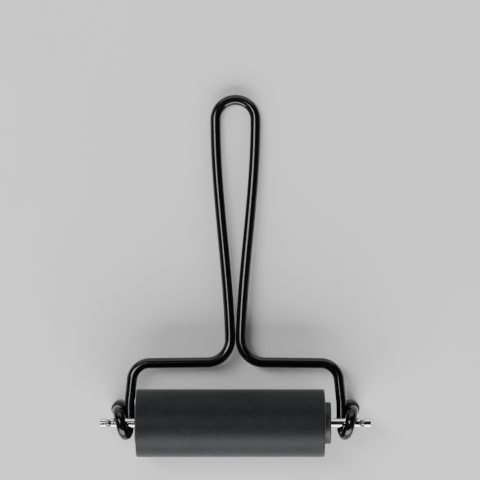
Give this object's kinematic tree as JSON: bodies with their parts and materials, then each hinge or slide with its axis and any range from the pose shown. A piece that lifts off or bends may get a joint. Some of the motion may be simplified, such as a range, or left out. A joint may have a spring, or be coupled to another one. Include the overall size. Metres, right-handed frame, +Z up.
{
  "type": "hand brayer",
  "caption": "Hand brayer: soft rubber roller on a steel axle, held by one bent wire frame with a hanging loop and rubber-capped feet.",
  "frame": {"origin": "middle of the bounding box's underside: the floor that both feet and the loop's end stand on when the tool is parked on its back", "axes": "+X along the axle, +Y from the roller to the hanging loop, +Z up from the floor"},
  "size_m": [0.0822, 0.1104, 0.0232],
  "materials": {
    "wire_enamel": "gloss black enamel on steel wire",
    "foot_vinyl": "satin black dipped cap",
    "axle_steel": "bright plated steel",
    "core_plastic": "satin black moulded plastic",
    "roller_rubber": "fine ground matt charcoal rubber",
    "bush_plastic": "satin dark grey moulded plastic"
  },
  "bodies": {
    "frame": {"wire_frame": "wire_enamel", "left_foot_cap": "foot_vinyl", "right_foot_cap": "foot_vinyl"},
    "axle": {"axle": "axle_steel"},
    "roller": {"rubber_sleeve": "roller_rubber", "roller_core": "core_plastic", "left_bush": "bush_plastic", "right_bush": "bush_plastic"}
  },
  "joints": [
    {"name": "axle_spin", "type": "hinge", "parent": "frame", "child": "axle", "pos_m": [0, -0.04491, 0.0129], "axis": [1, 0, 0], "continuous": true},
    {"name": "roller_float", "type": "slide", "parent": "axle", "child": "roller", "axis": [1, 0, 0], "range_m": [0, 0.0015]}
  ]
}
